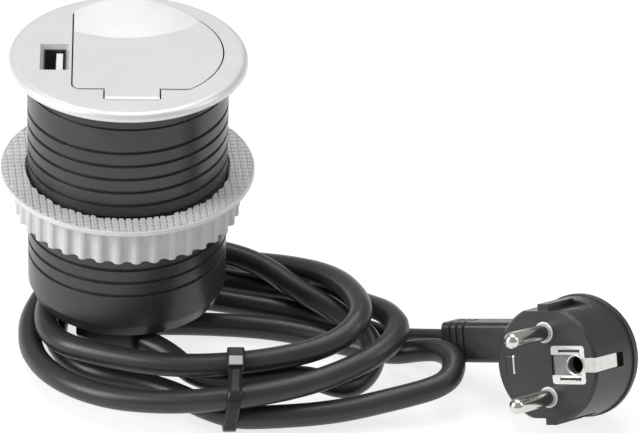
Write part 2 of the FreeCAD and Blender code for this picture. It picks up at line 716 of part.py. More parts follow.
def bent_lead(points):
    """Lead in straight pieces with balls at the bends."""
    solid = None
    for p, q in zip(points, points[1:]):
        rod = Part.makeCylinder(LEAD_R, (q - p).Length, p, q - p)
        solid = rod if solid is None else solid.fuse(Part.makeSphere(LEAD_R, p)).fuse(rod)
    return solid


def lead(k):
    """One of the three leads, side by side at the sheath's end, into the terminal block."""
    x, y = outlet_point(OUTLET_L)
    x += (k - 1) * LEAD_STEP
    way = block_ways()[k]
    return bent_lead([V(x, y, SHEATH_TOP), V(x, y, SHEATH_TOP + 4), V(way, SOCKET_Y, BLOCK_LOW - 5),
                      V(way, SOCKET_Y, BLOCK_LOW + BLOCK_H - 2)])


# Clamp nut

def nut_grip_ring():
    """Loose anti-slip ring on the nut, knurled in squares on top."""
    body = ring(GRIP_R, NUT_BORE_R, NUT_TOP - GRIP_H, NUT_TOP)
    lines = int(GRIP_R / KNURL_STEP)
    half = KNURL_W / 2
    for k in range(-lines, lines + 1):
        at = k * KNURL_STEP
        z0 = NUT_TOP - KNURL_D
        body = body.cut(box(at - half, at + half, -GRIP_R - 1, GRIP_R + 1, z0, NUT_TOP + 1))
        body = body.cut(box(-GRIP_R - 1, GRIP_R + 1, at - half, at + half, z0, NUT_TOP + 1))
    return body


def clamp_nut():
    """Fluted nut: round flutes all round its skirt and an inner thread."""
    root = NUT_BORE_R + NUT_WALL
    top = NUT_TOP - GRIP_H - SNUG
    low = NUT_TOP - NUT_H
    step = 360.0 / FLUTES
    crest = root + FLUTE_D
    half = FLUTE_LAND / 2
    outline = []
    for k in range(FLUTES):
        for radii, places in (((crest - FLUTE_ROUND, root, crest - FLUTE_ROUND), (k + half, k + 0.5, k + 1 - half)),
                              ((crest - FLUTE_ROUND, crest, crest - FLUTE_ROUND), (k + 1 - half, k + 1, k + 1 + half))):
            a, m, b = [V(*polar(r, place * step), low) for r, place in zip(radii, places)]
            outline.append(Part.Arc(a, m, b).toShape())
    skirt = Part.Face(Part.Wire(outline)).extrude(V(0, 0, top - low))
    return skirt.cut(disc(NUT_BORE_R, low - 1, top + 1)).fuse(nut_ridge())


# Plug. Its own frame has the face's centre at the origin, +Z out along the pins,
# +X towards the earth hole and +Y along the line of pins.

def plug_axes():
    """Unit vectors of the plug's X, Y and Z in the model's frame."""
    h = math.radians(PLUG_HEADING)
    t = math.radians(PLUG_TILT)
    r = math.radians(PLUG_ROLL)
    out = V(math.cos(t) * math.cos(h), math.cos(t) * math.sin(h), math.sin(t))
    side = V(-math.sin(h), math.cos(h), 0)
    up = out.cross(side)
    x_axis = side * math.cos(r) + up * math.sin(r)
    return x_axis, out.cross(x_axis), out


def plug_face_z():
    """Height of the face's centre that lays the rear rim on the floor."""
    t = math.radians(PLUG_TILT)
    return FLOOR_Z + PLUG_REAR_R * math.cos(t) + PLUG_L * math.sin(t)


def to_world(point):
    x_axis, y_axis, z_axis = plug_axes()
    at = V(PLUG_X, PLUG_Y, plug_face_z())
    return at + x_axis * point.x + y_axis * point.y + z_axis * point.z


def placed(shape):
    """Move a solid from the plug's frame into the model's."""
    x_axis, y_axis, z_axis = plug_axes()
    turn = FreeCAD.Rotation(x_axis, y_axis, z_axis, "ZXY")
    out = shape.copy()
    out.Placement = FreeCAD.Placement(V(PLUG_X, PLUG_Y, plug_face_z()), turn).multiply(out.Placement)
    return out


def plug_cone():
    """Tapered part of the plug's body, with its bevelled face."""
    return turned([(0, -PLUG_L), (PLUG_FACE_R + PLUG_TAPER, -PLUG_L), (PLUG_FACE_R, -1.0),
                   (PLUG_FACE_R - 0.8, 0), (0, 0)])


def plug_body():
    """Tapered body with a thin rear rim, two side lugs and recesses for the metal parts."""
    z_rim = -PLUG_L + PLUG_RIM_T
    body = plug_cone().fuse(disc(PLUG_REAR_R, -PLUG_L, z_rim))
    for side in (-1, 1):
        y0 = side * (PLUG_FLAT_Y - 2)
        y1 = side * PLUG_FLAT_Y
        y2 = side * (PLUG_FLAT_Y + LUG_H)
        far = side * (PLUG_REAR_R + 1)
        body = body.cut(box(-PLUG_REAR_R, PLUG_REAR_R, min(y1, far), max(y1, far), PLUG_FLAT_LOW, 1))
        body = body.fuse(box(-LUG_W / 2, LUG_W / 2, min(y0, y2), max(y0, y2), PLUG_FLAT_LOW - 1, -0.4))
    for y in (-PIN_SPACING / 2, PIN_SPACING / 2):
        body = body.cut(disc(PIN_ROOT_R, -PLUG_L + 2, 1, 0, y))
        body = body.cut(disc(PIN_R + COLLAR_W, -COLLAR_DEEP, 1, 0, y))
    body = body.cut(frame_block())
    body = body.cut(disc(PIN_R + CLEAR, -EARTH_DEEP, 1, EARTH_OFFSET, 0))
    for side in (-1, 1):
        body = body.cut(strip_block(side))
    return body


def frame_block():
    block = box(FRAME_X0, FRAME_X1, -FRAME_Y, FRAME_Y, -FRAME_DEEP, 1)
    return block.makeFillet(FRAME_CORNER, [e for e in block.Edges if e.BoundBox.ZLength > 1])


def strip_block(side):
    """Earth strip's space along one side of the body. The far strip's foot runs under the face to a window."""
    if side < 0:
        w = STRIP_W / 2
        under = box(-PLUG_REAR_R - 1, -STRIP_WINDOW[0], -w, w, STRIP_SLOT_LOW, -STRIP_UNDER)
        kept = box(-PLUG_FACE_R + STRIP_IN + STRIP_T, -STRIP_WINDOW[0] + 1, -w, w,
                   STRIP_SLOT_LOW - 1, -STRIP_UNDER - STRIP_T)
        return under.cut(kept).fuse(box(-STRIP_WINDOW[1], -STRIP_WINDOW[0], -w, w, -STRIP_UNDER - STRIP_T, 1))
    return box(FRAME_X1 - 1, PLUG_REAR_R + 1, -STRIP_W / 2, STRIP_W / 2, -STRIP_T, 1).fuse(
        box(PLUG_FACE_R - STRIP_IN - STRIP_T, PLUG_REAR_R + 1, -STRIP_W / 2, STRIP_W / 2, STRIP_SLOT_LOW, 1))


def plug_earth_frame():
    """White frame round the earth hole's plate."""
    block = frame_block().cut(box(FRAME_X0 - 1, FRAME_X1 + 1, -FRAME_Y - 1, FRAME_Y + 1, 0.15, 2))
    inner = box(FRAME_X0, FRAME_X1 - 1.4, -FRAME_Y + FRAME_BAR, FRAME_Y - FRAME_BAR, -FRAME_DEEP + 1, 1)
    hole = disc(PIN_R + 0.5, -FRAME_DEEP - 1, 1, EARTH_OFFSET, 0)
    strip = box(FRAME_X1 - 1.5, FRAME_X1 + 1, -STRIP_W / 2, STRIP_W / 2, -STRIP_T, 1)
    return block.cut(inner).cut(hole).cut(strip)


def plug_earth_plate():
    """Metal plate with the rolled earth hole."""
    plate = box(FRAME_X0, FRAME_X1 - 1.4, -FRAME_Y + FRAME_BAR, FRAME_Y - FRAME_BAR, -FRAME_DEEP + 1, -0.7)
    collar = disc(PIN_R + 0.5, -FRAME_DEEP + 1, -0.3, EARTH_OFFSET, 0)
    plate = plate.fuse(collar)
    return plate.cut(disc(PIN_R + 0.05, -FRAME_DEEP, 1, EARTH_OFFSET, 0))


def plug_earth_strips():
    """The two side contacts, set in the body's edge."""
    w = STRIP_W / 2
    edge = PLUG_FACE_R - STRIP_IN
    near = box(edge - STRIP_T, edge, -w, w, STRIP_LOW, 0).fuse(box(FRAME_X1 - 1, edge, -w, w, -STRIP_T, 0))
    near = near.cut(disc(PIN_R + 0.6, -STRIP_T - 1, 1, EARTH_OFFSET, 0))
    far = box(-edge, -edge + STRIP_T, -w, w, STRIP_LOW, -STRIP_UNDER)
    far = far.fuse(box(-edge, -STRIP_WINDOW[0], -w, w, -STRIP_UNDER - STRIP_T, -STRIP_UNDER))
    return group([near, far])


def plug_pin(y):
    """Round pin with a domed tip."""
    tip = PLUG_PIN_L - PIN_R
    root = disc(PIN_ROOT_R, -PLUG_L + 2, COLLAR_TOP, 0, y)
    shaft = disc(PIN_R, COLLAR_TOP, tip, 0, y)
    return root.fuse(shaft).fuse(Part.makeSphere(PIN_R, V(0, y, tip)))


def pin_collars():
    rings = []
    for y in (-PIN_SPACING / 2, PIN_SPACING / 2):
        rings.append(ring(PIN_R + COLLAR_W, PIN_ROOT_R, -COLLAR_DEEP, COLLAR_TOP, 0, y))
    return group(rings)


def plug_rear_cover():
    """Domed cover behind the rim, which is out of the photograph's sight."""
    z0 = -PLUG_L
    r = PLUG_REAR_R - 1.2
    h = PLUG_BACK_H
    return turned([(0, z0 - h), (r - 4.5, z0 - h), (r - 1.5, z0 - h + 1.5), (r, z0 - 2.5), (r, z0), (0, z0)])


def plug_neck():
    """Ribbed neck that carries the cord out of the plug's side."""
    reach = math.sqrt(PLUG_FACE_R ** 2 - (NECK_OFF + NECK_W / 2) ** 2) - 1.0
    y0 = NECK_OFF - NECK_W / 2
    y1 = NECK_OFF + NECK_W / 2
    z0 = -NECK_DEPTH - NECK_T / 2
    z1 = -NECK_DEPTH + NECK_T / 2
    neck = box(-NECK_END, -reach, y0, y1, z0, z1)
    along = [e for e in neck.Edges if e.BoundBox.XLength > 5]
    neck = neck.makeFillet(1.6, along)
    for k in range(3):
        x = -NECK_END + 2.5 + k * 2.4
        groove = box(x, x + 0.9, y0 - 1, y1 + 1, z0 - 1, z1 + 1)
        core = box(x - 1, x + 2, y0 + 0.5, y1 - 0.5, z0 + 0.5, z1 - 0.5)
        neck = neck.cut(groove.cut(core))
    return neck.cut(plug_cone())


# Cord

def swept(wire, radius):
    """Round tube along a wire."""
    edge = wire.OrderedEdges[0]
    start = edge.valueAt(edge.FirstParameter)
    tangent = edge.tangentAt(edge.FirstParameter)
    section = Part.Wire([Part.makeCircle(radius, start, tangent)])
    sweep = Part.BRepOffsetAPI.MakePipeShell(wire)
    sweep.add(section)
    sweep.build()
    sweep.makeSolid()
    tube = sweep.shape()
    if tube.Volume < 0:
        tube.reverse()
    return tube


# Coil. One unbroken cord runs from the outlet to the plug's neck. It passes the tie at the front
# four times, and between two passes it turns at the right, crosses at the back and turns at the left.

def coil_start():
    """Centre of the outlet's mouth."""
    return V(OUTLET_X, OUTLET_Y, OUTLET_Z)


def coil_end():
    """Centre of the neck's end."""
    return to_world(V(-NECK_END, NECK_OFF, -NECK_DEPTH))


def coil_points():
    """Points that the cord passes; its first and last stretch run straight for one diameter."""
    points = [coil_start() + outlet_direction() * CORD_D]
    for loop in COIL_LOOPS + [COIL_TAIL]:
        for x, y, up in loop:
            points.append(V(x, y, FIRST_Z + up))
    points.append(coil_end() - plug_axes()[0] * CORD_D)
    return points


def heading(a, b, c):
    """Direction at b of the circle seen from above through three points, with the mean slope."""
    before = b - a
    after = c - b
    len_a = math.hypot(before.x, before.y)
    len_b = math.hypot(after.x, after.y)
    x = before.x * len_b / len_a + after.x * len_a / len_b
    y = before.y * len_b / len_a + after.y * len_a / len_b
    level = before.z * after.z <= 0
    slope = 0.0 if level else (before.z + after.z) / (len_a + len_b)
    size = math.hypot(x, y)
    return V(x / size, y / size, slope).normalize()


def biarc(p0, t0, p1, t1):
    """Two arcs from one point and direction to another, tangent to each other."""
    v = p1 - p0
    along = v.dot(t0 + t1)
    bend = 2 * (1 - t0.dot(t1))
    if bend < 1e-9:
        d = v.dot(v) / (4 * v.dot(t1))
    else:
        d = (math.sqrt(along * along + bend * v.dot(v)) - along) / bend
    q = (p0 + t0 * d + p1 - t1 * d) * 0.5
    return [tangent_arc(p0, t0, q), tangent_arc(p1, t1 * -1, q, True)]


def tangent_arc(p, t, q, backwards=False):
    """Arc that leaves p along t and ends at q."""
    chord = q - p
    side = chord - t * chord.dot(t)
    if side.Length < 1e-6 * chord.Length:
        return Part.LineSegment(q, p).toShape() if backwards else Part.LineSegment(p, q).toShape()
    side.normalize()
    radius = chord.dot(chord) / (2 * chord.dot(side))
    turn = 2 * math.atan2(chord.dot(side), chord.dot(t))
    middle = p + side * (radius * (1 - math.cos(turn / 2))) + t * (radius * math.sin(turn / 2))
    if backwards:
        return Part.Arc(q, middle, p).toShape()
    return Part.Arc(p, middle, q).toShape()


def coil_path():
    points = coil_points()
    tangents = [outlet_direction()]
    for a, b, c in zip(points, points[1:], points[2:]):
        tangents.append(heading(a, b, c))
    tangents.append(plug_axes()[0])
    edges = [Part.LineSegment(coil_start(), points[0]).toShape()]
    for i in range(len(points) - 1):
        edges += biarc(points[i], tangents[i], points[i + 1], tangents[i + 1])
    edges.append(Part.LineSegment(points[-1], coil_end()).toShape())
    return Part.Wire(edges)


def self_gap(wire):
    """Least gap between two stretches of the cord that lie further apart than half a turn."""
    points = wire.discretize(Distance=2.0)
    least = 1e9
    for i, p in enumerate(points):
        for q in points[i + 14:]:
            least = min(least, p.distanceToPoint(q))
    return least - CORD_D


def cord_coil():
    path = coil_path()
    tube = swept(path, CORD_R)
    turns = [round(edge.Curve.Radius) for edge in path.Edges if hasattr(edge.Curve, "Radius")]
    print("coil length", round(path.Length), "least gap to itself", round(self_gap(path), 2), "radii", turns,
          "volume over section x length", round(tube.Volume / (math.pi * CORD_R ** 2 * path.Length), 4))
    span = path.Length
    return tube.cut(box(-span, span, -span, span, FLOOR_Z - CORD_D, FLOOR_Z))


def tie_loop(offset):
    """Rounded outline round the four strands at the tie, seen along X."""
    strands = [V(FRONT_X, loop[0][1], FIRST_Z + loop[0][2]) for loop in COIL_LOOPS]
    centre = (strands[0] + strands[1] + strands[2] + strands[3]) * 0.25
    strands.sort(key=lambda p: math.atan2(p.z - centre.z, p.y - centre.y))
    outline = Part.makePolygon(strands + strands[:1])
    return Part.Face(outline.makeOffset2D(offset))


def cable_tie():
    """Flat strap pulled round the bundle."""
    inner = CORD_R + TIE_GAP
    strap = tie_loop(inner + TIE_T).cut(tie_loop(inner))
    strap.translate(V(-TIE_W / 2, 0, 0))
    return strap.extrude(V(TIE_W, 0, 0))


def tie_head():
    """Square lock on top of the strap, with the strap's end standing out of it."""
    x, y, up = COIL_LOOPS[1][0]
    z = FIRST_Z + up + CORD_R + TIE_GAP + TIE_T
    head = box(x - TIE_HEAD / 2, x + TIE_HEAD / 2, y - TIE_HEAD / 2, y + TIE_HEAD / 2, z, z + TIE_HEAD_H)
    end = box(x - TIE_W / 2 + 0.2, x + TIE_W / 2 - 0.2, y - TIE_HEAD / 2 - TIE_END, y - TIE_HEAD / 2,
              z + 1, z + 1 + TIE_T)
    return head.fuse(end)


def all_nodes():
    """Every node's name and solid."""
    left_pin, right_pin = pin_places()
    nodes = {
        "cover_flange": cover_flange(),
        "seat_gasket": seat_gasket(),
        "lid": lid(),
        "lid_hinge_pin": lid_hinge_pin(),
        "threaded_housing": threaded_housing(),
        "bottom_cap": bottom_cap(),
        "cap_screws": cap_screws(),
        "socket_sleeve": socket_sleeve(),
        "socket_insert": socket_insert(),
        "centre_screw": centre_screw(),
        "shutter_disc": shutter_disc(),
        "shutter_spring": shutter_spring(),
        "contact_carrier": contact_carrier(),
        "neutral_contact": pin_contact(left_pin),
        "live_contact": pin_contact(right_pin),
        "earth_bracket": earth_bracket(),
        "terminal_block": terminal_block(),
        "terminal_screws": terminal_screws(),
        "usb_shell": usb_shell(),
        "usb_tongue": usb_tongue(),
        "usb_contacts": usb_contacts(),
        "charger_board": charger_board(),
        "charger_transformer": charger_transformer(),
        "charger_capacitors": charger_capacitors(),
        "cord_outlet": cord_outlet(),
        "cord_entry": cord_entry(),
        "cord_clamp": cord_clamp(),
        "clamp_screws": clamp_screws(),
        "nut_grip_ring": nut_grip_ring(),
        "clamp_nut": clamp_nut(),
        "cord_coil": cord_coil(),
        "cable_tie": cable_tie(),
        "tie_head": tie_head(),
    }
    for k, name in enumerate(("neutral_lead", "earth_lead", "live_lead")):
        nodes[name] = lead(k)
    plug = {
        "plug_body": plug_body(),
        "plug_rear_cover": plug_rear_cover(),
        "plug_neck": plug_neck(),
        "plug_upper_pin": plug_pin(PIN_SPACING / 2),
        "plug_lower_pin": plug_pin(-PIN_SPACING / 2),
        "pin_collars": pin_collars(),
        "plug_earth_frame": plug_earth_frame(),
        "plug_earth_plate": plug_earth_plate(),
        "plug_earth_strips": plug_earth_strips(),
    }
    for name, solid in plug.items():
        nodes[name] = placed(solid)
    return nodes


for node, solid in all_nodes().items():
    bounds = solid.BoundBox
    print(node, "valid", solid.isValid(), "solids", len(solid.Solids), "volume", round(solid.Volume),
          "z", round(bounds.ZMin, 2), round(bounds.ZMax, 2))
    solid.exportStep("parts/" + node + ".step")
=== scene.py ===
import json
import math

import bpy
import numpy as np
from mathutils import Matrix, Vector


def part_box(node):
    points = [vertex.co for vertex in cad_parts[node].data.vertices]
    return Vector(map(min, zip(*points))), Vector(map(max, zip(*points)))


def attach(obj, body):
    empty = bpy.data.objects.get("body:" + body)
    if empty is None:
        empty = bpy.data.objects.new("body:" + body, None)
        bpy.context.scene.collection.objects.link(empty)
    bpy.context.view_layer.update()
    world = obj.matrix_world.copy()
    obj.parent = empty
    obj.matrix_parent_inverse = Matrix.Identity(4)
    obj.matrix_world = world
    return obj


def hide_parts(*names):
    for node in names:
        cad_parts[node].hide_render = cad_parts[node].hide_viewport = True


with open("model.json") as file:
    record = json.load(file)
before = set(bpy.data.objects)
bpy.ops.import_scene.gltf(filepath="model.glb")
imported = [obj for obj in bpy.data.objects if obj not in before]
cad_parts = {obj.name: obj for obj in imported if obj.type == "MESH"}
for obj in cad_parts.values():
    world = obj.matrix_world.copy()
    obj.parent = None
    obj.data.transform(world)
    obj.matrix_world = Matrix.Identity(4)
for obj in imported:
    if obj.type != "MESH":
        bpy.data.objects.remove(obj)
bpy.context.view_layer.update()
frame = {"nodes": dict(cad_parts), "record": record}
nodes = frame["nodes"]

MM = 0.001

# Cord route, in millimetres: x, y and height over the lowest layer's line
LOWEST_LINE = -88.8
CORD_R = 3.5
START = [
    (4.5, -22.5, 6.3), (12.2, -28.3, 6.1),
]
LOOP_1 = [
    (20.5, -40.8, 4.8), (37, -46.6, 7.2), (51.5, -44.8, 9.2), (67, -47, 4.2), (75.5, -28.5, 7.4),
    (63, -10, 8.6), (51.5, 2, 8), (41.3, 15, 8.7), (28, 24, 8.2), (8, 27.5, 7.5), (-17, 17, 7.5),
    (-25, -7, 7.3), (-22.5, -27.5, 9.2), (-6, -37.8, 10.4),
]
LOOP_2 = [
    (16, -46, 12.2), (42, -46, 14.6), (61, -42, 17.8), (69.5, -33, 21.5), (68, -17, 19),
    (61.5, 1, 14), (50, 17, 6.8), (37, 28, 1.2), (14, 34.5, 0.4), (-14, 28.5, 1.6), (-28, 3, 2),
    (-29.5, -20, 2), (-22, -38, 3.5), (-8, -50.5, 5),
]
LOOP_3 = [
    (8, -56.5, 7), (23, -59, 9.3), (41, -57.5, 11), (58, -51.5, 12), (74, -43, 15), (81, -31, 16),
    (77.5, -18.5, 13.8), (71.5, -8, 9.6), (63.5, 4.5, 4.4), (52, 12.5, 0.3), (35, 17.5, 0.3),
    (14, 23, 0.3), (-10, 20.5, 0.3), (-20, 5, 0.3), (-22, -16, 0.6), (-12, -34, 2), (10, -39, 1),
]
LOOP_4 = [
    (28.5, -55.7, 1.3), (41, -57.5, 2.5), (61, -55.5, 3), (79, -51, 5), (91, -49, 7.6),
    (95.5, -44.4, 8.6), (96.4, -38, 9.9), (92.8, -32.2, 9.7), (86.8, -28.6, 7.2), (79, -24.5, 3),
    (67.5, -16.5, 0.3), (56, -11, 0.3), (44, -7, 0.3), (28, -5, 0.3), (10, -4.5, 0.3),
    (2.6, -5.3, 0.3), (-4.6, -5.2, 0.3), (-9.8, 0, 0.3), (-9.8, 7.2, 0.3), (-4.6, 12.4, 0.3),
]
TAIL = [
    (2, 12.6, 0.3), (10, 12, 0.3), (27, 8.5, 0.3), (40, 4.8, 0.3), (50, 2, 0.3), (60, -2.5, 0.3),
    (70, -7, 0.3), (79, -13, 0.8), (86.7, -18.1, 3.6), (96.57, -24.48, 7.86),
]

# Cable tie, in millimetres and degrees
TIE_X = 30.9
TIE_LEAN = 0.09           # how far the band leans towards +x for each millimetre that it rises
TIE_FRONT = -30.0         # the strands in front of this y run through the tie
TIE_WIDTH = 4.0
TIE_THICK = 1.1
TIE_SLACK = 0.05          # between the cord and the band
LOCK_SIZE = (5.2, 3.4, 6.4)
LOCK_AT = 118.0           # the lock's direction from the top strand, turned up from +y
LOCK_SINK = 0.9           # how far the lock sinks into the band
LOCK_DROP = 1.0           # how far it is shifted down the band, towards the front
WINDOW_SIZE = (4.0, 0.4, 2.9)
WINDOW_DROP = 1.3         # how far down the band the window lies from the lock's middle

# Plug, in millimetres and degrees, as the solids place it
PLUG_HEADING = 230.1
PLUG_TILT = 18.1
PLUG_ROLL = 21.0
PLUG_FACE = (121.6, -56.4, -68.131)
PIN_SPACING = 19.0
PIN_R = 2.4
COLLAR_R = 3.1
COLLAR_FOOT = -1.9        # where the collars and their seats start, under the plug's face
COLLAR_TOP = 0.3
COLLAR_EDGE = 0.25
SEAT_R = 3.7
SLOT_SPAN = (5.0, 11.4)   # from and to along the plug's x, of the slots in the white frame
SLOT_ROW = 4.1            # how far the slots lie from the plug's x axis
EARTH_X = 10.0            # middle of the earth hole along the plug's x
FAR_SLOT = (-14.1, -10.9)  # from and to along the plug's x, of the far contact's slot
FAR_SLOT_HALF = 2.75      # half of that slot's span along the plug's y

# Grip ring, in millimetres and degrees
GRIP_BORE = 30.2
KNURL_PITCH = 2.0
KNURL_TURN = 4.5
KNURL_HEIGHT = 0.5
PAD_FOOT = 0.86           # half widths of a pad at its foot and at its top
PAD_TOP = 0.6
PAD_FREE = 0.08           # between the pads and the bore
PAD_RIM = 0.6             # between the pads and the rim

# Painted shadow: black paint in the recess under the lid's gap, for the shade in that gap, in
# millimetres
GAP_SHADOW_UNDER = 0.3        # how far it starts under the flange's top
GAP_SHADOW_REACH = 28.9       # how far it reaches from the z axis
GAP_SHADOW_LEFT = -16.8       # where it ends towards -x

# Distances under which points are joined, in metres
NODE_WELD = 0.000002
BLOCK_WELD = 0.00001

# Floor, in millimetres
FLOOR_HALF = 4000.0
FLOOR_LEVEL = -92.02

# Camera, fitted to the photograph: place in metres, its three directions, and the lens in millimetres
CAMERA_PLACE = (0.0, -1.25819, 0.73708)
CAMERA_RIGHT = Vector((0.9992, -0.0295, 0.0254))
CAMERA_DOWN = Vector((0.0058, -0.5321, -0.8467))
CAMERA_AHEAD = Vector((0.0385, 0.8462, -0.5315))
SENSOR_WIDTH = 36.0
LENS = 281.25

# Lights: place, aim and sizes in metres, and power in watts
LIGHTS = {
    "key_left": ((-1.5, -0.5, 0.9), (0.03, 0, -0.06), (0.8, 1.2), 25),
    "fill_right": ((1.4, -0.3, 0.8), (0.03, 0, -0.04), (0.5, 1.0), 4),
    "top_soft": ((0.1, 0.25, 1.7), (0.05, 0, -0.04), (1.6, 0.9), 11),
    "back_soft": ((0.0, 0.95, 1.5), (0.0, 0, 0), (0.8, 0.3), 5),
}
ROOM_LIGHT = 0.38


# Camera

def photo_camera():
    data = bpy.data.cameras.new("photo_camera")
    data.sensor_fit = "HORIZONTAL"
    data.sensor_width = SENSOR_WIDTH
    data.lens = LENS
    data.clip_start = 0.1
    data.clip_end = 30.0
    camera = bpy.data.objects.new("photo_camera", data)
    bpy.context.scene.collection.objects.link(camera)
    turn = Matrix((CAMERA_RIGHT, -CAMERA_DOWN, -CAMERA_AHEAD)).transposed().to_4x4()
    camera.matrix_world = Matrix.Translation(CAMERA_PLACE) @ turn
    bpy.context.scene.camera = camera


# Meshes

def put_mesh(name, points, faces, smooth=True):
    """Object from an array of points in millimetres and an array of faces."""
    mesh = bpy.data.meshes.new(name)
    mesh.from_pydata((np.asarray(points, float) * MM).tolist(), [], np.asarray(faces).tolist())
    mesh.polygons.foreach_set("use_smooth", np.full(len(mesh.polygons), smooth))
    mesh.update()
    piece = bpy.data.objects.new(name, mesh)
    bpy.context.scene.collection.objects.link(piece)
    return piece


def grid_faces(rows, columns):
    """Quads of a grid that is closed along both of its directions; rows run first."""
    i, j = np.meshgrid(np.arange(rows), np.arange(columns), indexing="ij")
    below, beside = (i + 1) % rows, (j + 1) % columns
    corners = [i * columns + j, below * columns + j, below * columns + beside, i * columns + beside]
    return np.stack(corners, -1).reshape(-1, 4)


def turned_ring(profile, steps):
    """A closed profile of radius and height, turned about the z axis:
    point = (r cos a, r sin a, z) for every angle a."""
    angle = np.linspace(0, 2 * np.pi, steps, endpoint=False)[:, None]
    r, z = np.asarray(profile, float).T
    points = np.stack([r * np.cos(angle), r * np.sin(angle), z + 0 * angle], -1)
    return points.reshape(-1, 3), grid_faces(steps, len(r))


# Cord

def cord_curve():
    """The cord, one open curve on its listed points, and the points of its own line."""
    points = START + LOOP_1 + LOOP_2 + LOOP_3 + LOOP_4 + TAIL
    curve = bpy.data.curves.new("power_cord", "CURVE")
    curve.dimensions = "3D"
    line = curve.splines.new("NURBS")
    line.points.add(len(points) - 1)
    for point, (x, y, up) in zip(line.points, points):
        point.co = (x * MM, y * MM, (LOWEST_LINE + up) * MM, 1.0)
    line.order_u = 3
    line.use_endpoint_u = True
    line.resolution_u = 14
    cord = bpy.data.objects.new("power_cord", curve)
    bpy.context.scene.collection.objects.link(cord)
    route = cord_line(cord)
    curve.bevel_depth = CORD_R * MM
    curve.bevel_resolution = 5
    curve.use_fill_caps = True
    return cord, route


def cord_line(cord):
    """Points along the cord's own line, in millimetres, read from the curve without a bevel."""
    mesh = bpy.data.meshes.new_from_object(cord)
    points = np.zeros(len(mesh.vertices) * 3)
    mesh.vertices.foreach_get("co", points)
    bpy.data.meshes.remove(mesh)
    return points.reshape(-1, 3) / MM


# Cable tie

def tie_strands(route):
    """Where the front strands pass the tie: (y, z) of every crossing of the plane x = TIE_X that lies in
    front of y = TIE_FRONT."""
    side = route[:, 0] - TIE_X
    cut = np.nonzero((side[:-1] * side[1:] < 0) & (route[:-1, 1] < TIE_FRONT))[0]
    share = (side[cut] / (side[cut] - side[cut + 1]))[:, None]
    return (route[cut] * (1 - share) + route[cut + 1] * share)[:, 1:]


def tie_band(route):
    """A strap round the strands. For each direction a, the strand that reaches furthest along
    u = (cos a, sin a) gives the strap's inner point, strand + (cord radius + slack) u, and its outer
    point lies a strap's thickness further along u. The strap's section is a rounded rectangle:
    thickness t (1 + cos b)/2 squared off, width w sin b squared off."""
    strands = tie_strands(route)
    angle = np.linspace(0, 2 * np.pi, 160, endpoint=False)
    u = np.stack([np.cos(angle), np.sin(angle)], 1)
    far = strands[np.argmax(strands @ u.T, 0)]
    inner = far + (CORD_R + TIE_SLACK) * u
    b = np.linspace(0, 2 * np.pi, 16, endpoint=False)
    soft = np.maximum(np.abs(np.cos(b)), np.abs(np.sin(b))) ** 0.75
    out = TIE_THICK * (0.5 + 0.5 * np.clip(np.cos(b) / soft, -1, 1))
    across = TIE_WIDTH / 2 * np.clip(np.sin(b) / soft, -1, 1)
    yz = inner[:, None, :] + out[None, :, None] * u[:, None, :]
    x = TIE_X + across[None, :] + TIE_LEAN * (yz[..., 1] - strands[:, 1].mean())
    points = np.concatenate([x[..., None], yz], -1).reshape(-1, 3)
    return put_mesh("tie_band", points, grid_faces(len(angle), len(b)))


def rounded_block(name, middle, sizes, rounding, axes):
    """A block with soft edges: the unit cube's faces as grids, each point pulled to the inner block plus
    rounding times its direction. axes are the block's own three directions."""
    n = 9
    t = np.linspace(-1, 1, n)
    p, q = np.meshgrid(t, t, indexing="ij")
    one = np.ones_like(p)
    sides = [(one, p, q), (-one, q, p), (q, one, p), (p, -one, q), (p, q, one), (q, p, -one)]
    cube = np.stack([np.stack(side, -1) for side in sides]).reshape(-1, 3)
    half = np.asarray(sizes, float) / 2
    core = np.clip(cube * half, -(half - rounding), half - rounding)
    away = cube * half - core
    length = np.linalg.norm(away, axis=1, keepdims=True)
    local = core + rounding * away / np.maximum(length, 1e-9)
    i, j = np.meshgrid(np.arange(n - 1), np.arange(n - 1), indexing="ij")
    first = i * n + j
    quads = np.stack([first, first + n, first + n + 1, first + 1], -1).reshape(-1, 4)
    faces = np.concatenate([quads + k * n * n for k in range(len(sides))])
    piece = put_mesh(name, np.asarray(middle) + local @ np.asarray(axes, float), faces)
    weld = piece.modifiers.new("weld", "WELD")
    weld.merge_threshold = BLOCK_WELD
    return piece


def tie_lock(route):
    """The tie's lock, on the strap where it passes over the top strand's front, and the pale face of the
    strap's end in its window."""
    strands = tie_strands(route)
    y, z = strands[np.argmax(strands[:, 1])]
    turn = math.radians(LOCK_AT)
    out = np.array([0, math.cos(turn), math.sin(turn)])
    along = np.array([0, math.sin(turn), -math.cos(turn)])
    reach = CORD_R + TIE_THICK / 2 + LOCK_SIZE[1] / 2 - LOCK_SINK
    middle = np.array([TIE_X, y, z]) + reach * out - LOCK_DROP * along
    middle[0] += TIE_LEAN * (middle[2] - strands[:, 1].mean())
    axes = [[1, 0, 0], out, along]
    lock = rounded_block("tie_lock", middle, LOCK_SIZE, 0.5, axes)
    face = middle + out * LOCK_SIZE[1] / 2 - along * WINDOW_DROP
    return lock, rounded_block("tie_lock_window", face, WINDOW_SIZE, 0.15, axes)


# Plug details

def plug_axes():
    """Unit vectors of the plug's x, y and z: z points out along its pins."""
    h, t, r = (math.radians(v) for v in (PLUG_HEADING, PLUG_TILT, PLUG_ROLL))
    out = np.array([math.cos(t) * math.cos(h), math.cos(t) * math.sin(h), math.sin(t)])
    side = np.array([-math.sin(h), math.cos(h), 0.0])
    x_axis = side * math.cos(r) + np.cross(out, side) * math.sin(r)
    return np.stack([x_axis, np.cross(out, x_axis), out])


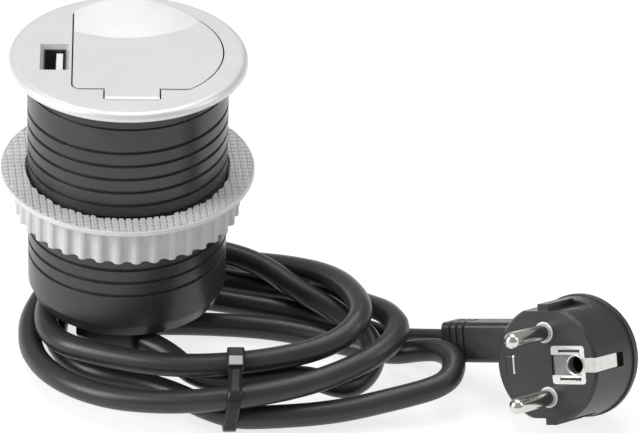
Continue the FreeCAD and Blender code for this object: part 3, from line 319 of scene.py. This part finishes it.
def pin_rings(name, profile):
    """The same ring round both pins: the profile turned about the plug's z, then moved along its y."""
    points, faces = turned_ring(profile, 64)
    pair = [points + (0, y, 0) for y in (-PIN_SPACING / 2, PIN_SPACING / 2)]
    both = np.concatenate(pair) @ plug_axes() + PLUG_FACE
    return put_mesh(name, both, np.concatenate([faces, faces + len(points)]))


def on_plug(name, spans, rounding):
    """A soft-edged block given by its spans along the plug's x, y and z."""
    low, high = np.asarray(spans, float).reshape(3, 2).T
    axes = plug_axes()
    return rounded_block(name, (low + high) / 2 @ axes + PLUG_FACE, high - low, rounding, axes)


def plug_details():
    """Pale rings round the pins in black seats, the slots in the white frame beside the earth plate, the
    earth hole's rolled rim, and the far contact's slot with its bright lip."""
    bore = PIN_R + 0.02
    slope = 0.3 * COLLAR_EDGE
    collar = [(bore, COLLAR_FOOT), (COLLAR_R, COLLAR_FOOT), (COLLAR_R, COLLAR_TOP - COLLAR_EDGE),
              (COLLAR_R - slope, COLLAR_TOP - slope), (COLLAR_R - COLLAR_EDGE, COLLAR_TOP),
              (bore, COLLAR_TOP)]
    collars = dress(pin_rings("collar_rings", collar), "housing", "white_plastic")
    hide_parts("pin_collars")
    hollow = COLLAR_R + 0.01
    seat = [(hollow, COLLAR_FOOT), (SEAT_R, COLLAR_FOOT), (SEAT_R, -0.02), (hollow, -0.02)]
    pieces = [collars, dress(pin_rings("collar_seats", seat), "housing", "plug_rubber")]
    blocks = []
    for side, row in (("upper", SLOT_ROW), ("lower", -SLOT_ROW)):
        for part, half, top, slot in (("rim", 0.75, 0.17, "nickel"), ("floor", 0.4, 0.2, "plug_rubber")):
            spans = (SLOT_SPAN[0] - half, SLOT_SPAN[1] + half, row - half, row + half, -0.3, top)
            blocks.append(("frame_slot_" + side + "_" + part, spans, 0.1, slot))
    near, far = FAR_SLOT
    high = (-FAR_SLOT_HALF, FAR_SLOT_HALF)
    blocks.append(("far_contact_bed", (near, far - 0.6, *high, -0.4, 0.03), 0.05, "plug_rubber"))
    blocks.append(("far_contact_lip", (far - 0.75, far, *high, -0.4, 0.12), 0.08, "nickel"))
    for name, spans, rounding, slot in blocks:
        pieces.append(dress(on_plug(name, spans, rounding), "housing", slot))
    hole = PIN_R + 0.1
    rim = [(hole, -1.2), (hole + 0.75, -1.2), (hole + 0.75, -0.15), (hole + 0.6, 0.08),
           (hole + 0.35, 0.16), (hole + 0.1, 0.05), (hole, -0.2)]
    points, faces = turned_ring(rim, 64)
    rolled = put_mesh("earth_hole_rim", (points + (EARTH_X, 0, 0)) @ plug_axes() + PLUG_FACE, faces)
    pieces.append(dress(rolled, "housing", "nickel"))
    return pieces


# Grip ring

def grip_ring():
    """A flat ring with a square grid of small pads on top. The ring is a closed profile turned about z.
    A pad is a frustum on its grid cell, and its corners keep inside the ring's bore and rim."""
    low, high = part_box("nut_grip_ring")
    rim = high.x / MM
    bottom = low.z / MM
    top = high.z / MM - KNURL_HEIGHT
    bore = GRIP_BORE
    profile = [(bore, top - 0.2), (bore, bottom + 0.25), (bore + 0.25, bottom), (rim - 0.3, bottom),
               (rim, bottom + 0.3), (rim, top + 0.1), (rim - 0.25, top + 0.3), (rim - 0.55, top + 0.25),
               (rim - 0.7, top), (bore + 0.2, top)]
    points, faces = turned_ring(profile, 180)
    n = int(rim / KNURL_PITCH) + 2
    i, j = np.meshgrid(np.arange(-n, n + 1), np.arange(-n, n + 1), indexing="ij")
    middles = np.stack([i.ravel(), j.ravel()], 1) * KNURL_PITCH
    far = np.hypot(*middles.T)
    middles = middles[(far > bore - 0.35) & (far < rim - 0.2)]
    corner = np.array([(-1, -1), (1, -1), (1, 1), (-1, 1)], float)
    foot = middles[:, None, :] + corner * PAD_FOOT
    crown = middles[:, None, :] + corner * PAD_TOP
    flat = np.concatenate([foot, crown], 1)
    r = np.linalg.norm(flat, axis=2, keepdims=True)
    flat = flat * np.clip(r, bore + PAD_FREE, rim - PAD_RIM) / r
    z = np.repeat([top - 0.1, top + KNURL_HEIGHT], 4)
    pads = np.concatenate([flat, np.broadcast_to(z, flat.shape[:2])[..., None]], 2).reshape(-1, 3)
    turn = math.radians(KNURL_TURN)
    c, s = math.cos(turn), math.sin(turn)
    pads = pads @ np.array([(c, s, 0), (-s, c, 0), (0, 0, 1)])
    box = np.array([(3, 2, 1, 0), (4, 5, 6, 7), (0, 1, 5, 4), (1, 2, 6, 5), (2, 3, 7, 6), (3, 0, 4, 7)])
    blocks = (box[None] + 8 * np.arange(len(middles))[:, None, None] + len(points)).reshape(-1, 4)
    all_points = np.concatenate([points, pads])
    return put_mesh("knurled_grip_ring", all_points, np.concatenate([faces, blocks]), False)


# Finishes

def add_node(tree, kind, **values):
    """A shader node with the given values on its input sockets; an underscore stands for a space."""
    node = tree.nodes.new("ShaderNode" + kind)
    for socket, value in values.items():
        node.inputs[socket.replace("_", " ")].default_value = value
    return node


def worked_out(tree, operation, first, second):
    """The output of a Math node on a socket and another socket or a plain number."""
    node = add_node(tree, "Math")
    node.operation = operation
    tree.links.new(first, node.inputs[0])
    if isinstance(second, float):
        node.inputs[1].default_value = second
    else:
        tree.links.new(second, node.inputs[1])
    return node.outputs[0]


def finish_of(name, tones, patch, rough, grain, depth, metal=0.0, edge=0.0, specular=0.5):
    """A principled surface on object coordinates. Its colour drifts from tone to tone over patches of
    the size patch, its roughness runs over the pair rough, and a grain of the size grain, depth deep,
    is its bump, over edges softened by the radius edge. Sizes are in millimetres."""
    material = bpy.data.materials.new(name)
    material.use_nodes = True
    tree = material.node_tree
    link = tree.links.new
    shader = tree.nodes["Principled BSDF"]
    shader.inputs["Metallic"].default_value = metal
    shader.inputs["Specular IOR Level"].default_value = specular
    where = add_node(tree, "TexCoord")
    drift = add_node(tree, "TexNoise", Scale=1000.0 / patch, Detail=4.0)
    link(where.outputs["Object"], drift.inputs["Vector"])
    colour = add_node(tree, "ValToRGB")
    for stop, place, tone in zip(colour.color_ramp.elements, (0.3, 0.7), tones):
        stop.position = place
        stop.color = (*tone, 1.0)
    link(drift.outputs["Fac"], colour.inputs["Fac"])
    link(colour.outputs["Color"], shader.inputs["Base Color"])
    fine = add_node(tree, "TexNoise", Scale=1000.0 / grain, Detail=3.0)
    link(where.outputs["Object"], fine.inputs["Vector"])
    spread = add_node(tree, "MapRange", From_Min=0.3, From_Max=0.7, To_Min=rough[0], To_Max=rough[1])
    link(fine.outputs["Fac"], spread.inputs["Value"])
    link(spread.outputs["Result"], shader.inputs["Roughness"])
    bump = add_node(tree, "Bump", Strength=1.0, Distance=depth * MM)
    link(fine.outputs["Fac"], bump.inputs["Height"])
    if edge:
        soft = add_node(tree, "Bevel", Radius=edge * MM)
        soft.samples = 6
        link(soft.outputs["Normal"], bump.inputs["Normal"])
    link(bump.outputs["Normal"], shader.inputs["Normal"])
    return material


# Dark and light tone of every finish
SILVER_TONES = ((0.73, 0.735, 0.74), (0.77, 0.775, 0.78))
HOUSING_TONES = ((0.03, 0.03, 0.031), (0.04, 0.04, 0.042))
GASKET_TONES = ((0.02, 0.02, 0.02), (0.035, 0.035, 0.035))
STEEL_TONES = ((0.55, 0.56, 0.57), (0.66, 0.67, 0.68))
SOCKET_TONES = ((0.022, 0.022, 0.024), (0.034, 0.034, 0.036))
BRASS_TONES = ((0.62, 0.44, 0.18), (0.75, 0.56, 0.26))
WHITE_TONES = ((0.76, 0.76, 0.75), (0.84, 0.84, 0.83))
GOLD_TONES = ((0.8, 0.58, 0.22), (0.9, 0.68, 0.3))
BOARD_TONES = ((0.03, 0.2, 0.08), (0.05, 0.28, 0.12))
TAPE_TONES = ((0.5, 0.4, 0.08), (0.62, 0.5, 0.14))
CAN_TONES = ((0.6, 0.61, 0.62), (0.72, 0.73, 0.74))
BLUE_TONES = ((0.03, 0.15, 0.5), (0.06, 0.22, 0.62))
GREEN_TONES = ((0.2, 0.45, 0.04), (0.6, 0.62, 0.06))
BROWN_TONES = ((0.18, 0.08, 0.03), (0.26, 0.13, 0.05))
NUT_TONES = ((0.58, 0.585, 0.585), (0.66, 0.665, 0.665))
CORD_TONES = ((0.021, 0.021, 0.022), (0.031, 0.031, 0.033))
TIE_TONES = ((0.015, 0.015, 0.016), (0.03, 0.03, 0.032))
PLUG_TONES = ((0.02, 0.02, 0.021), (0.032, 0.032, 0.034))
NICKEL_TONES = ((0.62, 0.61, 0.58), (0.72, 0.71, 0.68))
EARTH_TONES = ((0.2, 0.2, 0.2), (0.27, 0.27, 0.265))
STRAP_TONES = ((0.36, 0.36, 0.37), (0.44, 0.44, 0.45))
KNURL_TONES = ((0.66, 0.665, 0.665), (0.74, 0.745, 0.745))
PORT_TONES = ((0.05, 0.05, 0.052), (0.09, 0.09, 0.094))


def silver(name):
    """The satin silver of the lid and the flange."""
    return finish_of(name, SILVER_TONES, 9, (0.34, 0.42), 0.3, 0.003, metal=0.45, edge=0.3)


# Finish of every slot
FINISHES = {
    "silver_plastic": silver("satin_silver"),
    "black_plastic": finish_of("black_housing", HOUSING_TONES, 14, (0.24, 0.34), 0.6, 0.002, edge=0.15),
    "gasket_rubber": finish_of("gasket", GASKET_TONES, 4, (0.6, 0.8), 0.4, 0.02),
    "steel": finish_of("bright_steel", STEEL_TONES, 3, (0.18, 0.32), 0.3, 0.004, metal=1.0, edge=0.1),
    "socket_plastic": finish_of("black_socket", SOCKET_TONES, 6, (0.35, 0.5), 0.4, 0.008, edge=0.15),
    "brass": finish_of("brass_contacts", BRASS_TONES, 3, (0.2, 0.35), 0.3, 0.005, metal=1.0, edge=0.05),
    "white_plastic": finish_of("white_inserts", WHITE_TONES, 5, (0.3, 0.42), 0.4, 0.005, edge=0.12),
    "gold_contacts": finish_of("gold_fingers", GOLD_TONES, 2, (0.15, 0.3), 0.3, 0.003, metal=1.0),
    "board": finish_of("lacquered_board", BOARD_TONES, 4, (0.3, 0.45), 0.5, 0.01),
    "transformer": finish_of("taped_winding", TAPE_TONES, 3, (0.4, 0.6), 0.5, 0.02),
    "can_aluminium": finish_of("capacitor_can", CAN_TONES, 3, (0.25, 0.4), 0.4, 0.005, metal=1.0),
    "blue_lead": finish_of("blue_insulation", BLUE_TONES, 3, (0.4, 0.5), 0.3, 0.005),
    "earth_green": finish_of("green_insulation", GREEN_TONES, 2, (0.4, 0.5), 0.3, 0.005),
    "brown_lead": finish_of("brown_insulation", BROWN_TONES, 3, (0.4, 0.5), 0.3, 0.005),
    "nut_plastic": finish_of("grey_nut", NUT_TONES, 8, (0.38, 0.5), 0.4, 0.008, edge=0.3),
    "cord_sheath": finish_of("cord_sheath", CORD_TONES, 18, (0.3, 0.42), 0.9, 0.006),
    "tie_plastic": finish_of("tie_nylon", TIE_TONES, 5, (0.15, 0.28), 0.5, 0.006, specular=0.2),
    "plug_rubber": finish_of("moulded_plug", PLUG_TONES, 9, (0.28, 0.42), 0.55, 0.012, edge=0.35),
    "nickel": finish_of("nickel_plate", NICKEL_TONES, 4, (0.12, 0.24), 0.3, 0.003, metal=1.0, edge=0.08),
}
STRAP_END = finish_of("strap_end", STRAP_TONES, 3, (0.4, 0.5), 0.3, 0.003)
KNURL = finish_of("grey_knurl", KNURL_TONES, 8, (0.4, 0.5), 0.4, 0.004)

# Nodes whose finish is not their slot's
OWN_FINISHES = {
    # The flange's own copy of the silver carries the painted shadow in the lid's gap
    "cover_flange": silver("satin_flange_gap_shadow"),
    "usb_shell": finish_of("port_shell", PORT_TONES, 3, (0.3, 0.42), 0.3, 0.004, metal=0.6),
    "plug_earth_plate": finish_of("dull_nickel", EARTH_TONES, 4, (0.4, 0.55), 0.3, 0.003, metal=0.4,
                                  edge=0.08),
}

# Degrees between two faces that start an edge, for most nodes and for those with shallow forms
EDGE_FROM = 28.0
SHALLOW_FROM = {"lid": 5.0, "cover_flange": 14.0}


def paint_gap_shadow(material, top, reach, left):
    """Painted shadow: black paint wherever a point lies under the height top, nearer to the z axis than
    reach, and further along x than left, for the shade in the lid's gap. All three are in metres."""
    tree = material.node_tree
    link = tree.links.new
    place = add_node(tree, "SeparateXYZ")
    link(tree.nodes["Texture Coordinate"].outputs["Object"], place.inputs[0])
    flat = add_node(tree, "CombineXYZ")
    link(place.outputs["X"], flat.inputs["X"])
    link(place.outputs["Y"], flat.inputs["Y"])
    away = add_node(tree, "VectorMath")
    away.operation = "LENGTH"
    link(flat.outputs[0], away.inputs[0])
    near = worked_out(tree, "LESS_THAN", away.outputs["Value"], reach)
    under = worked_out(tree, "LESS_THAN", place.outputs["Z"], top)
    beside = worked_out(tree, "GREATER_THAN", place.outputs["X"], left)
    near_and_under = worked_out(tree, "MULTIPLY", near, under)
    # Painted shadow: near black mixed over the base colour inside the recess
    painted_shadow = add_node(tree, "MixRGB", Color2=(0.01, 0.01, 0.01, 1.0))
    link(worked_out(tree, "MULTIPLY", near_and_under, beside), painted_shadow.inputs["Fac"])
    link(tree.nodes["Color Ramp"].outputs["Color"], painted_shadow.inputs["Color1"])
    link(painted_shadow.outputs["Color"], tree.nodes["Principled BSDF"].inputs["Base Color"])


def dress_nodes():
    """Gives every carried node its slot's finish or its own, and smooth shading between its edges."""
    # The flange's finish gets a painted shadow: black in the recess under the lid's gap
    under_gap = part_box("cover_flange")[1].z - GAP_SHADOW_UNDER * MM
    paint_gap_shadow(OWN_FINISHES["cover_flange"], under_gap, GAP_SHADOW_REACH * MM, GAP_SHADOW_LEFT * MM)
    slots = {part["node"]: part["material_slot"] for part in frame["record"]["subparts"]}
    for name, node in nodes.items():
        node.data.materials.clear()
        node.data.materials.append(OWN_FINISHES.get(name, FINISHES[slots[name]]))
        node.data.polygons.foreach_set("use_smooth", np.ones(len(node.data.polygons), bool))
        weld = node.modifiers.new("weld", "WELD")
        weld.merge_threshold = NODE_WELD
        split = node.modifiers.new("edges", "EDGE_SPLIT")
        split.split_angle = math.radians(SHALLOW_FROM.get(name, EDGE_FROM))
        even = node.modifiers.new("even", "WEIGHTED_NORMAL")
        even.mode = "FACE_AREA"
        even.keep_sharp = True


def dress(piece, body, slot, finish=None):
    """Gives a new piece its body and its slot's finish, or another finish."""
    piece.data.materials.append(finish or FINISHES[slot])
    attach(piece, body)
    return piece


# Floor, lights and world

def pale_floor():
    """A square floor just under the object. Seen straight, in a mirror or through glass it is a dim
    paper with a glow, nearly white, that keeps the shadow; to other rays it is plain pale paper."""
    corners = np.array([(-1, -1), (1, -1), (1, 1), (-1, 1)]) * FLOOR_HALF
    floor = put_mesh("floor", np.column_stack([corners, np.full(4, FLOOR_LEVEL)]), [(0, 1, 2, 3)])
    material = bpy.data.materials.new("floor_paper")
    material.use_nodes = True
    tree = material.node_tree
    tree.nodes.clear()
    link = tree.links.new
    out = add_node(tree, "OutputMaterial")
    paper = add_node(tree, "BsdfDiffuse", Color=(0.8, 0.8, 0.8, 1.0))
    dim_paper = add_node(tree, "BsdfDiffuse", Color=(0.32, 0.32, 0.32, 1.0))
    glow = add_node(tree, "Emission", Strength=0.78)
    seen_paper = add_node(tree, "AddShader")
    link(dim_paper.outputs[0], seen_paper.inputs[0])
    link(glow.outputs[0], seen_paper.inputs[1])
    rays = add_node(tree, "LightPath").outputs
    straight = worked_out(tree, "MAXIMUM", rays["Is Camera Ray"], rays["Is Glossy Ray"])
    seen = worked_out(tree, "MAXIMUM", straight, rays["Is Transmission Ray"])
    choice = add_node(tree, "MixShader")
    link(seen, choice.inputs["Fac"])
    link(paper.outputs[0], choice.inputs[1])
    link(seen_paper.outputs[0], choice.inputs[2])
    link(choice.outputs[0], out.inputs["Surface"])
    floor.data.materials.append(material)


def soft_light(name, place, aim, size, power):
    data = bpy.data.lights.new(name, "AREA")
    data.shape = "RECTANGLE"
    data.size, data.size_y = size
    data.energy = power
    light = bpy.data.objects.new(name, data)
    bpy.context.scene.collection.objects.link(light)
    back = (Vector(place) - Vector(aim)).normalized()
    light.matrix_world = Matrix.Translation(place) @ back.to_track_quat("Z", "Y").to_matrix().to_4x4()


def studio():
    for name, settings in LIGHTS.items():
        soft_light(name, *settings)
    world = bpy.data.worlds.new("pale_room")
    bpy.context.scene.world = world
    world.use_nodes = True
    room = world.node_tree.nodes["Background"]
    room.inputs["Color"].default_value = (1.0, 1.0, 1.0, 1.0)
    room.inputs["Strength"].default_value = ROOM_LIGHT
    bpy.context.scene.view_settings.view_transform = "Standard"


def main():
    photo_camera()
    cord, route = cord_curve()
    dress_nodes()
    dress(cord, "housing", "cord_sheath")
    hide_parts("cord_coil")
    band = dress(tie_band(route), "housing", "tie_plastic")
    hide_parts("cable_tie")
    lock, window = tie_lock(route)
    dress(window, "housing", "tie_plastic", STRAP_END)
    dress(lock, "housing", "tie_plastic")
    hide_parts("tie_head")
    ring = dress(grip_ring(), "grip_ring", "nut_plastic", KNURL)
    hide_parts("nut_grip_ring")
    plug = [nodes[name] for name in sorted(nodes) if name.startswith("plug_")]
    tied = plug + plug_details() + [band, lock, window]
    pale_floor()
    studio()


main()
